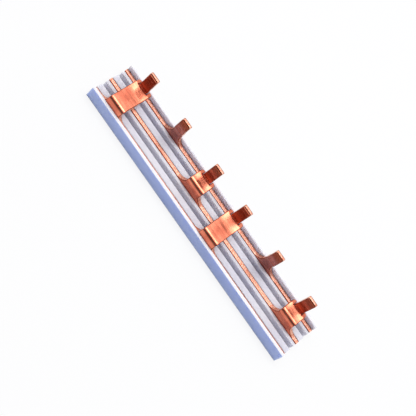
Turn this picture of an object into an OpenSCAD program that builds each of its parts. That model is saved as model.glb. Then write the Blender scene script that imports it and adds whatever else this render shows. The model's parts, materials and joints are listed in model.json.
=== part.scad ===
// Comb busbar, three phases over six modules: an open-topped plastic comb
// profile holds three copper strips on edge, and the teeth of the strips
// stand in one row of pins.
// X runs along the bar, Y from the rear wall towards the front wall, Z up the
// pins. The origin is in the middle of the base.

/* [Modules] */
// Number of modules that the bar feeds
modules = 6; // [3:3:12]
// Spacing of neighbouring pins
pin_pitch = 17.8; // [17:0.1:20]
// How far the pins of the rear strip stand off the even pitch
rear_pin_shift = -0.65; // [-1:0.05:1]
// How far the pins of the middle strip stand off the even pitch
middle_pin_shift = 0.7; // [-1:0.05:1]
// How far the pins of the front strip stand off the even pitch
front_pin_shift = 0; // [-1:0.05:1]

/* [Housing] */
// Plastic beyond the modules at each end
end_margin = 1; // [0:0.1:3]
// Thickness of the outer walls
wall_thickness = 1.3; // [1:0.1:2]
// Height of the outer walls above the ribs
wall_rise = 2.1; // [1:0.1:4]
// Thickness of the floor under the strips
floor_thickness = 0.8; // [0.6:0.1:1.5]
// Spacing of the three slots across the bar
slot_spacing = 7.35; // [7:0.05:8]
// Width of the thin rib on the rear side of a slot
rib_width = 1.25; // [0.8:0.05:1.6]
// Width of the thick bar on the front side of a slot
bar_width = 2.5; // [2:0.1:3]
// Rounding of the plastic edges
edge_radius = 0.25; // [0.1:0.05:0.35]

/* [Strips] */
// Thickness of the copper
copper_thickness = 1.7; // [1.2:0.1:1.9]
// Height of a strip in its slot, up to the top of the ribs
strip_height = 2.7; // [2.2:0.1:6]
// Play of a strip across its slot
slot_play = 0.1; // [0.04:0.02:0.2]
// Inside radius of the bends
bend_radius = 0.4; // [0.2:0.05:0.6]

/* [Arms] */
// Width of the arms that cross to the row of pins
arm_width = 7.2; // [6:0.1:8]
// How far the curved roots of an arm tooth reach along its strip
arm_root_reach = 3.6; // [2.6:0.1:4.5]
// Height of the curved roots of an arm tooth
arm_root_height = 2.5; // [1.5:0.1:2.6]
// Straight rise of an arm tooth between its root and its bend
arm_rise = 0; // [0:0.1:2]
// How far the arms run on past the row of pins
arm_overrun = 0.15; // [0:0.05:0.6]
// Radius of the corners at the free end of an arm
corner_radius = 1; // [0.5:0.1:1.3]
// Cut on each side of a pin that lets it bend up
relief_width = 0.2; // [0.1:0.05:0.4]

/* [Pins] */
// Width of the pins
pin_width = 4; // [3.4:0.1:4.6]
// Height of the pin tips above the outer walls
pin_reach = 11.3; // [10:0.1:14]
// Bevel round the pin tips
tip_bevel = 0.4; // [0.2:0.05:0.6]
// How far the curved roots of a front tooth reach along its strip
front_root_reach = 3.5; // [3.5:0.1:4.5]
// Height of the curved roots of a front tooth
front_root_height = 3.5; // [2:0.1:3.5]
// Straight rise of a front tooth between its root and its step
step_rise = 1.5; // [0.5:0.1:2]
// Gap between the row of pins and the plane of the front strip
pin_row_gap = 0.1; // [0:0.05:0.3]

/* [Hidden] */
$fn = 96;

phases = 3;
plastic_colour = "#B9C2E0";
copper_colour = "#D98A66";
length = modules * pin_pitch + 2 * end_margin;
slot_width = copper_thickness + slot_play;
depth = 2 * wall_thickness + (phases - 1) * slot_spacing + slot_width;
rib_top = floor_thickness + strip_height;
wall_height = rib_top + wall_rise;
outer_bend = bend_radius + copper_thickness;

// Pins, in the row they share.
front_face = strip_face(2);
pin_face = front_face - pin_row_gap - copper_thickness;
tip_height = wall_height + pin_reach;

// Arms, from the bend over their strip to the bend of their pin.
root_foot = rib_top - strip_height / 2;
arm_bend_foot = rib_top + arm_root_height + arm_rise;
arm_height = arm_bend_foot + outer_bend;
pin_bend_start = pin_face - bend_radius;
arm_end = pin_face + copper_thickness + arm_overrun;

// Step of the front teeth: two equal bends with a straight slope between.
step_angle = 45;
step_foot = rib_top + front_root_height + step_rise;
step_reach = bend_radius + outer_bend;
step_slope = (front_face - pin_face - step_reach * (1 - cos(step_angle))) / sin(step_angle);
step_top = step_foot + step_reach * sin(step_angle) + step_slope * cos(step_angle);

// Rear face of a slot, and of the strip that stands in it, counted from 0.
function slot_face(index) = -depth / 2 + wall_thickness + index * slot_spacing;
function strip_face(index) = slot_face(index) + slot_play / 2;

// Place of a pin along the bar, counted from 1.
function pin_place(number) = (number - (modules + 1) / 2) * pin_pitch;

housing();
rear_strip();
middle_strip();
front_strip();

module housing() {
    color(plastic_colour)
        along_bar(length)
            housing_section();
}

module rear_strip() {
    color(copper_colour) {
        strip_body(strip_face(0));
        for (number = [1:phases:modules])
            arm_tooth(strip_face(0), pin_place(number) + rear_pin_shift);
    }
}

module middle_strip() {
    color(copper_colour) {
        strip_body(strip_face(1));
        for (number = [3:phases:modules])
            arm_tooth(strip_face(1), pin_place(number) + middle_pin_shift);
    }
}

module front_strip() {
    color(copper_colour) {
        strip_body(front_face);
        for (number = [2:phases:modules])
            stepped_tooth(pin_place(number) + front_pin_shift);
    }
}

// Section of the comb profile: a floor and two outer walls, with a thin rib
// and a thick bar that hold the copper upright.
module housing_section() {
    translate([-depth / 2, 0])
        square([depth, floor_thickness]);
    translate([-depth / 2, 0])
        wall_section(wall_thickness, wall_height);
    translate([depth / 2 - wall_thickness, 0])
        wall_section(wall_thickness, wall_height);
    for (index = [0:phases - 2])
        translate([slot_face(index) + slot_width, 0])
            wall_section(bar_width, rib_top);
    for (index = [1:phases - 1])
        translate([slot_face(index) - rib_width, 0])
            wall_section(rib_width, rib_top);
}

// A wall that stands on the base, with its top edges rounded.
module wall_section(width, height) {
    square([width, height - edge_radius]);
    translate([edge_radius, 0])
        square([width - 2 * edge_radius, height]);
    for (side = [edge_radius, width - edge_radius])
        translate([side, height - edge_radius])
            circle(edge_radius);
}

// The part of a strip that lies in its slot.
module strip_body(face) {
    translate([-length / 2, face, floor_thickness])
        cube([length, copper_thickness, strip_height]);
}

// A tooth that rises from its strip, crosses to the row of pins as a flat arm
// and turns up into a pin between two short shoulders.
module arm_tooth(face, place) {
    translate([place, 0, 0]) {
        upright(face)
            root_outline(arm_width, arm_root_reach, arm_root_height, arm_bend_foot);
        along_bar(arm_width)
            arm_section(face, pin_bend_start);
        intersection() {
            along_bar(arm_width)
                arm_section(face, arm_end);
            linear_extrude(tip_height)
                shoulder_outline(face);
        }
        intersection() {
            along_bar(pin_width)
                arm_pin_section(face);
            pin_front();
        }
    }
}

// A tooth that rises straight from the front strip and steps back to stand in
// the row of pins.
module stepped_tooth(place) {
    translate([place, 0, 0]) {
        upright(front_face)
            root_outline(pin_width, front_root_reach, front_root_height, step_foot);
        intersection() {
            along_bar(pin_width)
                stepped_pin_section();
            pin_front();
        }
    }
}

// Front view of a tooth from inside its strip up to a height, with the curved
// roots on both sides.
module root_outline(width, reach, height, top) {
    radius = (reach ^ 2 + height ^ 2) / (2 * height);
    translate([-width / 2, root_foot])
        square([width, top - root_foot]);
    difference() {
        translate([-width / 2 - reach, root_foot])
            square([width + 2 * reach, rib_top + height - root_foot]);
        for (side = [-1, 1])
            translate([side * (width / 2 + reach), rib_top + radius])
                circle(radius);
    }
}

// Plan of an arm, with rounded corners at its free end and a notch there for
// the pin.
module shoulder_outline(face) {
    run = arm_end - face;
    notch_width = pin_width + 2 * relief_width;
    difference() {
        translate([0, face]) {
            translate([-arm_width / 2, 0])
                square([arm_width, run - corner_radius]);
            translate([-arm_width / 2 + corner_radius, 0])
                square([arm_width - 2 * corner_radius, run]);
            for (side = [-1, 1])
                translate([side * (arm_width / 2 - corner_radius), run - corner_radius])
                    circle(corner_radius);
        }
        translate([-notch_width / 2, pin_bend_start])
            square([notch_width, run]);
    }
}

// Side view of a tooth that bends over into an arm, out to a place across
// the bar.
module arm_section(face, end) {
    translate([face + outer_bend, arm_bend_foot])
        mirror([1, 0])
            bent_copper(90, arm_bend_foot - root_foot, end - face - outer_bend);
}

// Side view of an arm tooth and the pin that turns up out of it.
module arm_pin_section(face) {
    turn_height = arm_height + bend_radius;
    below_tip() {
        arm_section(face, pin_bend_start);
        translate([pin_bend_start, turn_height])
            mirror([0, 1])
                bent_copper(90, tip_height - turn_height, pin_bend_start - face - outer_bend);
    }
}

// Side view of a front tooth: two opposite bends that share one slope.
module stepped_pin_section() {
    below_tip() {
        translate([front_face - bend_radius, step_foot])
            bent_copper(step_angle, step_foot - root_foot, step_slope);
        translate([pin_face + outer_bend, step_top])
            rotate(180)
                bent_copper(step_angle, tip_height - step_top, step_slope);
    }
}

// Cuts the bevels of the tip into the side view of a pin.
module below_tip() {
    intersection() {
        union()
            children();
        union() {
            translate([-depth / 2, 0])
                square([depth, tip_height - tip_bevel]);
            translate([pin_face + copper_thickness / 2, 0])
                bevelled_post(copper_thickness);
        }
    }
}

// The space that a pin fills in the front view, bevelled at its tip.
module pin_front() {
    translate([0, depth / 2, 0])
        rotate([90, 0, 0])
            linear_extrude(depth)
                bevelled_post(pin_width);
}

// A post from the base to the pin tips, with its top corners cut off.
module bevelled_post(width) {
    half = width / 2;
    polygon([
        [-half, 0],
        [half, 0],
        [half, tip_height - tip_bevel],
        [half - tip_bevel, tip_height],
        [tip_bevel - half, tip_height],
        [-half, tip_height - tip_bevel]
    ]);
}

// Side view of copper that comes up a leg, turns about the origin by an angle
// and runs on.
module bent_copper(turn, leg, run) {
    difference() {
        bend_side(outer_bend, turn, leg, run, 0);
        bend_side(bend_radius, turn, leg + outer_bend, run + outer_bend, outer_bend);
    }
}

// All that lies within one face of the bent copper, and as far back as asked.
module bend_side(radius, turn, leg, run, back) {
    lap = 20;
    reach = 2 * radius;
    translate([-back, -leg])
        square([back + radius, leg]);
    rotate(turn)
        translate([-back, 0])
            square([back + radius, run]);
    intersection() {
        circle(radius);
        polygon([
            [0, 0],
            reach * [cos(-lap), sin(-lap)],
            reach * [cos(turn / 2), sin(turn / 2)],
            reach * [cos(turn + lap), sin(turn + lap)]
        ]);
    }
}

// Stands an outline, drawn in X and Z, in the plane of the copper at a face.
module upright(face) {
    translate([0, face + copper_thickness, 0])
        rotate([90, 0, 0])
            linear_extrude(copper_thickness)
                children();
}

// Runs a section, drawn in Y and Z, along the bar.
module along_bar(run) {
    rotate([90, 0, 90])
        linear_extrude(run, center = true)
            children();
}
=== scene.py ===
# The looks of the comb busbar: materials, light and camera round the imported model.
# Metres, in the model's own frame: X along the bar, Z up the pins.
import json
import math

import bmesh
import bpy
from mathutils import Matrix, Vector


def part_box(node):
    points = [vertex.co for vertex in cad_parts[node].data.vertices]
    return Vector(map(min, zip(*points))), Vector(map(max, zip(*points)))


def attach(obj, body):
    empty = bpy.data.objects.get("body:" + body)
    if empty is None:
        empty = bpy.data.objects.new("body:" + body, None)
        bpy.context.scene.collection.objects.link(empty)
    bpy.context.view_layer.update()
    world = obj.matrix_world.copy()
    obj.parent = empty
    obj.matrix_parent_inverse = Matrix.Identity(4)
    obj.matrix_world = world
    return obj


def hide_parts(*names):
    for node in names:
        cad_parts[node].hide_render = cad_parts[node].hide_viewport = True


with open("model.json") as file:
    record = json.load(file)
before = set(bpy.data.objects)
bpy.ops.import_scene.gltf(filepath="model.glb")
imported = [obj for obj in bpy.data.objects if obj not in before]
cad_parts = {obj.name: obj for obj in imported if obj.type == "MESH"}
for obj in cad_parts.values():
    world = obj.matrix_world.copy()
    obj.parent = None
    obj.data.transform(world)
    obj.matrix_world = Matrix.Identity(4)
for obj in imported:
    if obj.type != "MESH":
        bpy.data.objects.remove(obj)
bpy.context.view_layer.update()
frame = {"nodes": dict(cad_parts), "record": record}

scene = bpy.context.scene
scene.view_settings.view_transform = "Standard"


# Grains of the copper per metre.
BLOTCHES = 220
GRAINS = 900
SPECKLES = 2300
# Over what height the painted darkening of the pins' ends sets in, below and above the level
# given: painted dark reflection of the dim ceiling they mirror.
PAINTED_DARK_FADE = (-0.0008, 0.0014)
PAINTED_DARK_START = 0.0139
# The heights between which the housing is painted paler towards the tops of the rear and front
# walls, painted highlight for the light they catch.
PAINTED_TOP_LIGHT_FADE = (0.0050, 0.0054)
# The distances from the middle between which a wall's outside begins, where the housing is painted
# the blue of its shade.
OUTSIDE_FADE = (0.0092, 0.0095)
# How much of the floor shines white where it is seen or mirrored.
FLOOR_GLOW = 0.85


class Shader:
    """Short ways to add and link nodes in one node tree."""

    def __init__(self, owner):
        owner.use_nodes = True
        self.tree = owner.node_tree
        self.tree.nodes.clear()

    def add(self, kind, inputs=None, **settings):
        node = self.tree.nodes.new("ShaderNode" + kind)
        for name, value in settings.items():
            setattr(node, name, value)
        for name, value in (inputs or {}).items():
            self.feed(node.inputs[name], value)
        return node

    def feed(self, socket, value):
        if isinstance(value, bpy.types.NodeSocket):
            self.tree.links.new(value, socket)
        else:
            socket.default_value = value

    def math(self, operation, *values):
        node = self.add("Math", operation=operation)
        for socket, value in zip(node.inputs, values):
            self.feed(socket, value)
        return node.outputs[0]

    def ramp(self, value, low, high, start=0.0, end=1.0):
        """start below low, end above high, and a soft step between them."""
        node = self.add("MapRange", interpolation_type="SMOOTHSTEP")
        for name, number in (("Value", value), ("From Min", low), ("From Max", high),
                             ("To Min", start), ("To Max", end)):
            self.feed(node.inputs[name], number)
        return node.outputs["Result"]

    def mix(self, share, first, second):
        node = self.add("Mix", data_type="RGBA")
        for socket, value in ((node.inputs["Factor"], share), (node.inputs[6], first),
                              (node.inputs[7], second)):
            self.feed(socket, value)
        return node.outputs[2]

    def noise(self, place, scale, stretch=(1, 1, 1), detail=3.0):
        """Noise with a grain about 1 / scale metres across, drawn out along some axes."""
        mapping = self.add("Mapping", {"Vector": place, "Scale": stretch})
        node = self.add("TexNoise", {"Vector": mapping.outputs[0], "Scale": scale,
                                     "Detail": detail, "Roughness": 0.55})
        return node.outputs["Fac"]


def rgb(red, green, blue):
    """A colour as a screen shows it, 0 to 255, for a shader socket."""
    def straight(level):
        level /= 255
        return level / 12.92 if level <= 0.04045 else ((level + 0.055) / 1.055) ** 2.4
    return (straight(red), straight(green), straight(blue), 1)


def copper_material(name, light, dark, sheared=False, painted_dark_from=None):
    """Bare stamped copper between two tints: rolled faces, or the speckled edges that the punch
    sheared. Given a height, the pins are painted darker from that height up: painted dark
    reflection standing in for the dim ceiling their faces mirror."""
    material = bpy.data.materials.new("copper_" + name)
    s = Shader(material)
    place = s.add("TexCoord").outputs["Object"]
    blotch = s.noise(place, BLOTCHES)
    grain = s.noise(place, GRAINS, stretch=(0.12, 1, 1))
    speckle = s.noise(place, SPECKLES, detail=2)
    if sheared:
        tint = s.mix(s.ramp(speckle, 0.4, 0.62), dark, light)
        rough = s.ramp(speckle, 0.35, 0.65, 0.3, 0.5)
        height = speckle
        strength = 0.45
    else:
        tint = s.mix(s.ramp(blotch, 0.35, 0.65), light, dark)
        rough = s.ramp(grain, 0.3, 0.7, 0.2, 0.32)
        height = s.math("ADD", grain, s.math("MULTIPLY", speckle, 0.3))
        strength = 0.15
    # Painted dark reflection: from the given height up the pins are tinted a darker copper,
    # standing in for the dim ceiling they mirror.
    if painted_dark_from:
        level = s.math("ADD", s.add("SeparateXYZ", {"Vector": place}).outputs["Z"],
                       s.math("MULTIPLY", speckle, 0.0006))
        painted_dark_share = s.ramp(level, painted_dark_from + PAINTED_DARK_FADE[0], painted_dark_from + PAINTED_DARK_FADE[1])
        tint = s.mix(painted_dark_share, tint, rgb(160, 82, 58))
    bump = s.add("Bump", {"Strength": strength, "Distance": 0.00005, "Height": height})
    surface = s.add("BsdfPrincipled", {
        "Base Color": tint, "Metallic": 1.0, "Roughness": rough, "Normal": bump.outputs[0]})
    s.feed(s.add("OutputMaterial").inputs["Surface"], surface.outputs[0])
    return material


def plastic_material():
    """Pale extruded plastic with painted light and shade: the outsides of the rear and front walls
    are painted blue for the bluish shade on them, and their tops are painted paler for the light
    they catch.
    """
    material = bpy.data.materials.new("housing_plastic_finish")
    s = Shader(material)
    coordinates = s.add("TexCoord")
    place = coordinates.outputs["Object"]
    normal = s.add("SeparateXYZ", {"Vector": coordinates.outputs["Normal"]}).outputs
    part = s.add("SeparateXYZ", {"Vector": place}).outputs
    # Painted shade: faces looking sideways out of the rear and front walls get a deeper blue,
    # standing in for the bluish shade on them.
    blue_shade_side = s.math("MULTIPLY", s.ramp(s.math("ABSOLUTE", part["Y"]), *OUTSIDE_FADE),
                   s.ramp(s.math("ABSOLUTE", normal["Y"]), 0.5, 0.9))
    streak = s.noise(place, 500, stretch=(0.03, 1, 1))
    cloud = s.noise(place, 60, detail=1)
    pale = s.mix(s.ramp(cloud, 0.3, 0.7), rgb(227, 226, 233), rgb(218, 217, 227))
    # Painted highlight: above these heights the wall tops are painted paler, standing in for the
    # light falling on them.
    pale = s.mix(s.ramp(part["Z"], *PAINTED_TOP_LIGHT_FADE), pale, rgb(236, 236, 244))
    # The painted blue of that shade, with faint extrusion streaks.
    blue = s.mix(s.ramp(streak, 0.3, 0.7), rgb(168, 183, 225), rgb(161, 176, 221))
    bump = s.add("Bump", {"Strength": 0.15, "Distance": 0.00003, "Height": streak})
    surface = s.add("BsdfPrincipled", {
        "Base Color": s.mix(blue_shade_side, pale, blue), "Subsurface Weight": 0.9,
        "Subsurface Radius": (1, 1, 1), "Subsurface Scale": 0.0016,
        "Roughness": s.ramp(streak, 0.3, 0.7, 0.36, 0.46), "Normal": bump.outputs[0]})
    s.feed(s.add("OutputMaterial").inputs["Surface"], surface.outputs[0])
    return material


def floor_material():
    """A pale floor that reads as near white and keeps the shadow."""
    material = bpy.data.materials.new("floor_paint")
    s = Shader(material)
    path = s.add("LightPath").outputs
    seen = s.math("MAXIMUM", path["Is Camera Ray"], path["Is Glossy Ray"])
    seen = s.math("MAXIMUM", seen, path["Is Transmission Ray"])
    seen = s.math("MULTIPLY", seen, FLOOR_GLOW)
    paint = s.add("BsdfDiffuse", {"Color": rgb(240, 240, 242)})
    white = s.add("Emission", {"Color": (1, 1, 1, 1), "Strength": 1.0})
    blend = s.add("MixShader", {"Fac": seen})
    s.feed(blend.inputs[1], paint.outputs[0])
    s.feed(blend.inputs[2], white.outputs[0])
    s.feed(s.add("OutputMaterial").inputs["Surface"], blend.outputs[0])
    return material


def light_world():
    """A pale studio whose ceiling is dim on the rear side, which the pins mirror."""
    world = bpy.data.worlds.new("studio")
    scene.world = world
    s = Shader(world)
    way = s.add("TexCoord").outputs["Generated"]
    height = s.add("SeparateXYZ", {"Vector": way}).outputs["Z"]
    away = s.add("VectorMath", operation="DOT_PRODUCT")
    s.feed(away.inputs[0], way)
    s.feed(away.inputs[1], (0.35, -0.94, 0.0))
    rearward = s.ramp(away.outputs["Value"], -0.1, 0.3)
    dim = s.math("MULTIPLY", rearward, s.ramp(height, 0.48, 0.62))
    colour = s.mix(dim, (0.94, 0.95, 0.98, 1), (0.12, 0.12, 0.14, 1))
    back = s.add("Background", {"Color": colour, "Strength": 1.0})
    s.feed(s.add("OutputWorld").inputs["Surface"], back.outputs[0])


def area_lamp(name, place, target, width, depth, level):
    """A soft box whose face shines at a level, where 1 is white."""
    lamp = bpy.data.lights.new(name, "AREA")
    lamp.shape = "RECTANGLE"
    lamp.size = width
    lamp.size_y = depth
    lamp.energy = level * math.pi * width * depth
    holder = bpy.data.objects.new(name, lamp)
    holder.location = place
    holder.rotation_euler = (Vector(target) - Vector(place)).to_track_quat("-Z", "Y").to_euler()
    scene.collection.objects.link(holder)


def place_camera():
    """A view from beside the rear wall, 55 degrees up, and rolled."""
    tilt = math.radians(55)
    roll = math.radians(54.82)
    distance = 0.4087
    aim = Vector((0, 0.00435, 0))
    back = Vector((0, -math.cos(tilt), math.sin(tilt)))
    level = Vector((1, 0, 0))
    upright = Vector((0, math.sin(tilt), math.cos(tilt)))
    right = math.cos(roll) * level + math.sin(roll) * upright
    up = math.cos(roll) * upright - math.sin(roll) * level
    data = bpy.data.cameras.new("camera")
    data.sensor_width = 36
    data.lens = 103.85
    data.clip_start = 0.01
    camera = bpy.data.objects.new("camera", data)
    turn = Matrix((right, up, back)).transposed().to_4x4()
    camera.matrix_world = Matrix.Translation(aim + distance * back) @ turn
    scene.collection.objects.link(camera)
    scene.camera = camera


def lay_floor():
    mesh = bpy.data.meshes.new("floor")
    half = 1.5
    corners = [(-half, -half, 0), (half, -half, 0), (half, half, 0), (-half, half, 0)]
    mesh.from_pydata(corners, [], [(0, 1, 2, 3)])
    floor = bpy.data.objects.new("floor", mesh)
    mesh.materials.append(floor_material())
    scene.collection.objects.link(floor)


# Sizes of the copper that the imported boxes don't give, in metres.
THICKNESS = 0.0017
INNER_BEND = 0.0004
OUTER_BEND = INNER_BEND + THICKNESS
ARM_WIDTH = 0.0072
ARM_ROOT = (0.0036, 0.0025)
ARM_OVERRUN = 0.00015
CORNER = 0.001
RELIEF = 0.0002
PIN_WIDTH = 0.004
TIP_BEVEL = 0.0004
FRONT_ROOT = (0.0035, 0.0035)
STEP_RISE = 0.0015
STEP_ANGLE = math.radians(45)
STRIP_HEIGHT = 0.0027
EDGE_ROUND = 0.0003
# How far each arm rises towards its pin, and over what length.
DISH = {1: 0.0005, 3: 0.0004, 4: 0.00055, 6: 0.00045}
DISH_LENGTH = 0.0045
# How far the shoulders beside the pin fall again for each metre past it.
SHOULDER_DROP = 0.2
# How far to either side of a tooth the flat blank is split.
CUT_REACH = 0.0072
# The spacing of the splits along an arm, and their number through a bend and through a step.
ARM_SPACING = 0.0005
BEND_STEPS = 12
STEP_STEPS = 6
# Corners of the blank sharper than this are rounded, in radians.
SHARP_CORNER = 0.8
# A face this square to the blank's broad side is rolled metal, and one this far from it was
# sheared; the rims lie between.
ROLLED_FACING = 0.92
SHEARED_FACING = 0.25
# Two points closer than this are one.
TINY = 1e-7
RIGHT_ANGLE = math.pi / 2
MID_BEND = (INNER_BEND + OUTER_BEND) / 2


def arc(centre, radius, start, end, steps):
    """Points of an arc, with the angles in degrees."""
    points = []
    for step in range(steps + 1):
        angle = math.radians(start + (end - start) * step / steps)
        points.append((centre[0] + radius * math.cos(angle), centre[1] + radius * math.sin(angle)))
    return points


def root_curve(side, reach, height, top):
    """The curve from the strip's top edge up to the side of a tooth."""
    radius = (reach ** 2 + height ** 2) / (2 * height)
    swing = math.degrees(math.asin(reach / radius))
    points = arc((0, top + radius), radius, -90, -90 - swing, 14)
    return [(side + reach + x, z) for x, z in points]


def mirrored(points):
    return [(-x, z) for x, z in reversed(points)]


def spread(start, end, steps):
    """Even heights from start to end, with both ends."""
    return [start + (end - start) * step / steps for step in range(steps + 1)]


class ArmTooth:
    """A tooth that bends over its strip into an arm and turns up into a pin."""

    def __init__(self, place, face, foot, tip, pin_face, dish):
        self.place, self.face, self.dish = place, face, dish
        self.top = foot + STRIP_HEIGHT
        self.bend = self.top + ARM_ROOT[1]
        self.arm = self.bend + MID_BEND * RIGHT_ANGLE
        self.pin_y = pin_face - INNER_BEND
        self.run = self.pin_y - face - OUTER_BEND
        self.turn = self.arm + self.run
        self.rise = self.turn + MID_BEND * RIGHT_ANGLE
        self.height = self.bend + OUTER_BEND
        self.end = self.rise + tip - self.height - INNER_BEND
        self.shoulder = self.turn + INNER_BEND + THICKNESS + ARM_OVERRUN

    def outline(self):
        half, pin = ARM_WIDTH / 2, PIN_WIDTH / 2
        side = root_curve(half, *ARM_ROOT, self.top)
        side += arc((half - CORNER, self.shoulder - CORNER), CORNER, 0, 90, 8)
        side += [(pin + RELIEF, self.shoulder), (pin + RELIEF, self.turn), (pin, self.turn)]
        side += [(pin, self.end - TIP_BEVEL), (pin - TIP_BEVEL, self.end)]
        return side + mirrored(side)

    def cuts(self):
        """Heights on the flat blank at which its faces are split, so that they can bend."""
        count = max(4, round(self.run / ARM_SPACING))
        rows = spread(self.bend, self.arm, BEND_STEPS)
        rows += spread(self.arm, self.turn, count)
        rows += spread(self.turn, self.rise, BEND_STEPS)
        return rows + [self.end - TIP_BEVEL]

    def bent(self, x, s, w):
        """Where a point of the flat blank goes: x along the strip, s up it, w into it."""
        if s <= self.bend:
            return Vector((x, self.face + w, s))
        if s <= self.arm:
            angle = (s - self.bend) / MID_BEND
            radius = OUTER_BEND - w
            return Vector((x, self.face + OUTER_BEND - radius * math.cos(angle),
                           self.bend + radius * math.sin(angle)))
        along = s - self.arm
        flat = Vector((x, self.face + OUTER_BEND + along, self.height - w + self.lift(along)))
        if s <= self.turn or abs(x - self.place) > PIN_WIDTH / 2 + RELIEF / 2:
            return flat
        centre = (self.pin_y, self.height + INNER_BEND)
        if s <= self.rise:
            angle = (s - self.turn) / MID_BEND
            radius = INNER_BEND + w
            fade = self.lift(self.run) * (1 - (s - self.turn) / (self.rise - self.turn))
            return Vector((x, centre[0] + radius * math.sin(angle),
                           centre[1] - radius * math.cos(angle) + fade))
        w = self.squeezed(s, w)
        return Vector((x, centre[0] + INNER_BEND + w, centre[1] + s - self.rise))

    def lift(self, along):
        """The arm rises a little towards its pin, as bending leaves it."""
        start = max(0.0, self.run - DISH_LENGTH)
        share = max(0.0, along - start) / (self.run - start)
        if share > 1:
            return self.dish - (along - self.run) * SHOULDER_DROP
        return self.dish * share ** 2

    def squeezed(self, s, w):
        """Bevels the pin's broad faces at its tip."""
        cut = max(0.0, s - self.end + TIP_BEVEL)
        half = THICKNESS / 2
        return half + (w - half) * (1 - cut / half)


class SteppedTooth(ArmTooth):
    """A tooth that steps back from the front strip to stand in the row of pins."""

    def __init__(self, place, face, foot, tip, pin_face):
        self.place, self.face = place, face
        self.top = foot + STRIP_HEIGHT
        self.bend = self.top + FRONT_ROOT[1] + STEP_RISE
        reach = INNER_BEND + OUTER_BEND
        bends = reach * (1 - math.cos(STEP_ANGLE))
        self.slope = (face - pin_face - bends) / math.sin(STEP_ANGLE)
        self.first = self.bend + MID_BEND * STEP_ANGLE
        self.second = self.first + self.slope
        self.rise = self.second + MID_BEND * STEP_ANGLE
        self.pin_face = pin_face
        self.step_top = (self.bend + reach * math.sin(STEP_ANGLE)
                         + self.slope * math.cos(STEP_ANGLE))
        self.end = self.rise + tip - self.step_top

    def outline(self):
        pin = PIN_WIDTH / 2
        side = root_curve(pin, *FRONT_ROOT, self.top)
        side += [(pin, self.end - TIP_BEVEL), (pin - TIP_BEVEL, self.end)]
        return side + mirrored(side)

    def cuts(self):
        rows = spread(self.bend, self.first, STEP_STEPS)
        rows += spread(self.second, self.rise, STEP_STEPS)
        return rows + [self.end - TIP_BEVEL]

    def bent(self, x, s, w):
        if s <= self.bend:
            return Vector((x, self.face + w, s))
        if s <= self.second:
            angle = min(STEP_ANGLE, (s - self.bend) / MID_BEND)
            radius = INNER_BEND + w
            along = max(0.0, s - self.first)
            back = radius * math.cos(angle) - along * math.sin(angle)
            up = radius * math.sin(angle) + along * math.cos(angle)
            return Vector((x, self.face - INNER_BEND + back, self.bend + up))
        w = self.squeezed(s, w)
        radius = OUTER_BEND - w
        angle = max(0.0, STEP_ANGLE - (s - self.second) / MID_BEND)
        along = max(0.0, s - self.rise)
        return Vector((x, self.pin_face + OUTER_BEND - radius * math.cos(angle),
                       self.step_top - radius * math.sin(angle) + along))


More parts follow.
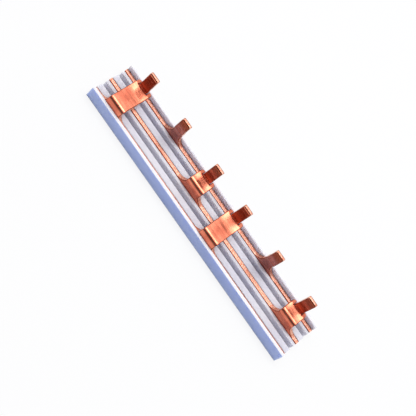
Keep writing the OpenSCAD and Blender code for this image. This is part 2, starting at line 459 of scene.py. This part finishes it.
def strip_piece(name, node, teeth, finishes):
    """A strip cut from a flat blank, rounded at its edges and bent, in place of its CAD node.

    The finishes are those of the rolled faces, the sheared edges and the rims between them. The
    rims get a darker copper as painted shade for the dark reflections along the rounded edges, and
    the sheared edges a paler one, partly painted highlight."""
    low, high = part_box(node)
    top = low.z + STRIP_HEIGHT
    outline = [(low.x, low.z), (high.x, low.z), (high.x, top)]
    for tooth in sorted(teeth, key=lambda t: -t.place):
        outline += [(tooth.place + x, z) for x, z in tooth.outline()]
    outline.append((low.x, top))
    shape = bmesh.new()
    shape.faces.new([shape.verts.new((x, 0, z)) for x, z in outline])
    rows = sorted({round(row, 7) for tooth in teeth for row in tooth.cuts()} | {top})
    columns = [tooth.place + side for tooth in teeth for side in (-CUT_REACH, CUT_REACH)]
    for place, normal in ([((0, 0, row), (0, 0, 1)) for row in rows]
                          + [((column, 0, 0), (1, 0, 0)) for column in columns]):
        everything = shape.verts[:] + shape.edges[:] + shape.faces[:]
        bmesh.ops.bisect_plane(shape, geom=everything, dist=TINY, plane_co=place, plane_no=normal)
    grown = bmesh.ops.extrude_face_region(shape, geom=shape.faces[:], use_keep_orig=True)["geom"]
    for vert in grown:
        if isinstance(vert, bmesh.types.BMVert):
            vert.co.y = THICKNESS
    bmesh.ops.recalc_face_normals(shape, faces=shape.faces[:])
    shape.normal_update()
    rims = [edge for edge in shape.edges if edge.calc_face_angle(0) > SHARP_CORNER
            and abs(edge.verts[0].co.y - edge.verts[1].co.y) < TINY]
    bmesh.ops.bevel(shape, geom=rims, offset=EDGE_ROUND, segments=4, profile=0.5,
                    affect="EDGES", clamp_overlap=False)
    shape.normal_update()
    for face in shape.faces:
        face.smooth = True
        broadside = abs(face.normal.y)
        face.material_index = (0 if broadside > ROLLED_FACING
                               else 2 if broadside > SHEARED_FACING else 1)
    for vert in shape.verts:
        x, w, s = vert.co
        nearest = min(teeth, key=lambda t: abs(t.place - x))
        vert.co = nearest.bent(x, s, w)
    bmesh.ops.recalc_face_normals(shape, faces=shape.faces[:])
    mesh = bpy.data.meshes.new(name)
    shape.to_mesh(mesh)
    shape.free()
    for finish in finishes:
        mesh.materials.append(finish)
    mesh.set_sharp_from_angle(angle=math.radians(40))
    piece = bpy.data.objects.new(name, mesh)
    scene.collection.objects.link(piece)
    even = piece.modifiers.new("even_normals", "WEIGHTED_NORMAL")
    even.keep_sharp = True
    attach(piece, "root")
    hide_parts(node)


def dress_strips():
    """Each strip's teeth stand where the record has their pins."""
    pins = {}
    for mount in frame["record"]["mounts"]:
        if mount["name"].startswith("pin_"):
            pins[int(mount["name"][4:])] = mount["pos_m"]
    tip = pins[1][2]
    pin_face = pins[1][1] - THICKNESS / 2
    warm = (rgb(236, 138, 108), rgb(214, 116, 90))
    bright = copper_material("rolled", *warm)
    # The middle strip's copper, with its pins painted darker towards the tips as painted dark
    # reflection.
    painted_dark_tipped = copper_material("rolled_oxide_tips", *warm, painted_dark_from=PAINTED_DARK_START)
    # Painted reflection: the front strip gets a paler, pinker copy of the copper, standing in for
    # the pale plastic its teeth mirror. Its pins are also painted darker at the tips.
    painted_reflection_copper = copper_material("rolled_dull", rgb(206, 132, 118), rgb(188, 112, 98),
                           painted_dark_from=PAINTED_DARK_START)
    # Partly painted highlight: the speckle is the grain of the sheared metal, but its paler tint
    # stands in for the overhead light the rough edges catch.
    sheared = copper_material("sheared", rgb(240, 192, 168), rgb(214, 128, 100), sheared=True)
    # Painted shade: the rounded rims between rolled faces and sheared edges get a darker copper,
    # standing in for the dark reflections and shadow along those edges.
    rim = copper_material("rim", rgb(160, 78, 52), rgb(122, 52, 32))
    for node, numbers, finish in (("rear_strip", (1, 4), bright),
                                  ("middle_strip", (3, 6), painted_dark_tipped)):
        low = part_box(node)[0]
        teeth = [ArmTooth(pins[number][0], low.y, low.z, tip, pin_face, DISH[number])
                 for number in numbers]
        strip_piece(node + "_bent", node, teeth, (finish, sheared, rim))
    low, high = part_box("front_strip")
    teeth = [SteppedTooth(pins[number][0], high.y - THICKNESS, low.z, tip, pin_face)
             for number in (2, 5)]
    strip_piece("front_strip_bent", "front_strip", teeth, (painted_reflection_copper, sheared, rim))


housing_finish = plastic_material()
for slot in frame["nodes"]["housing"].material_slots:
    slot.material = housing_finish
dress_strips()

place_camera()
light_world()
area_lamp("overhead", (0, 0.11, 0.45), (0, 0, 0), 0.36, 0.2, 4.4)
lay_floor()
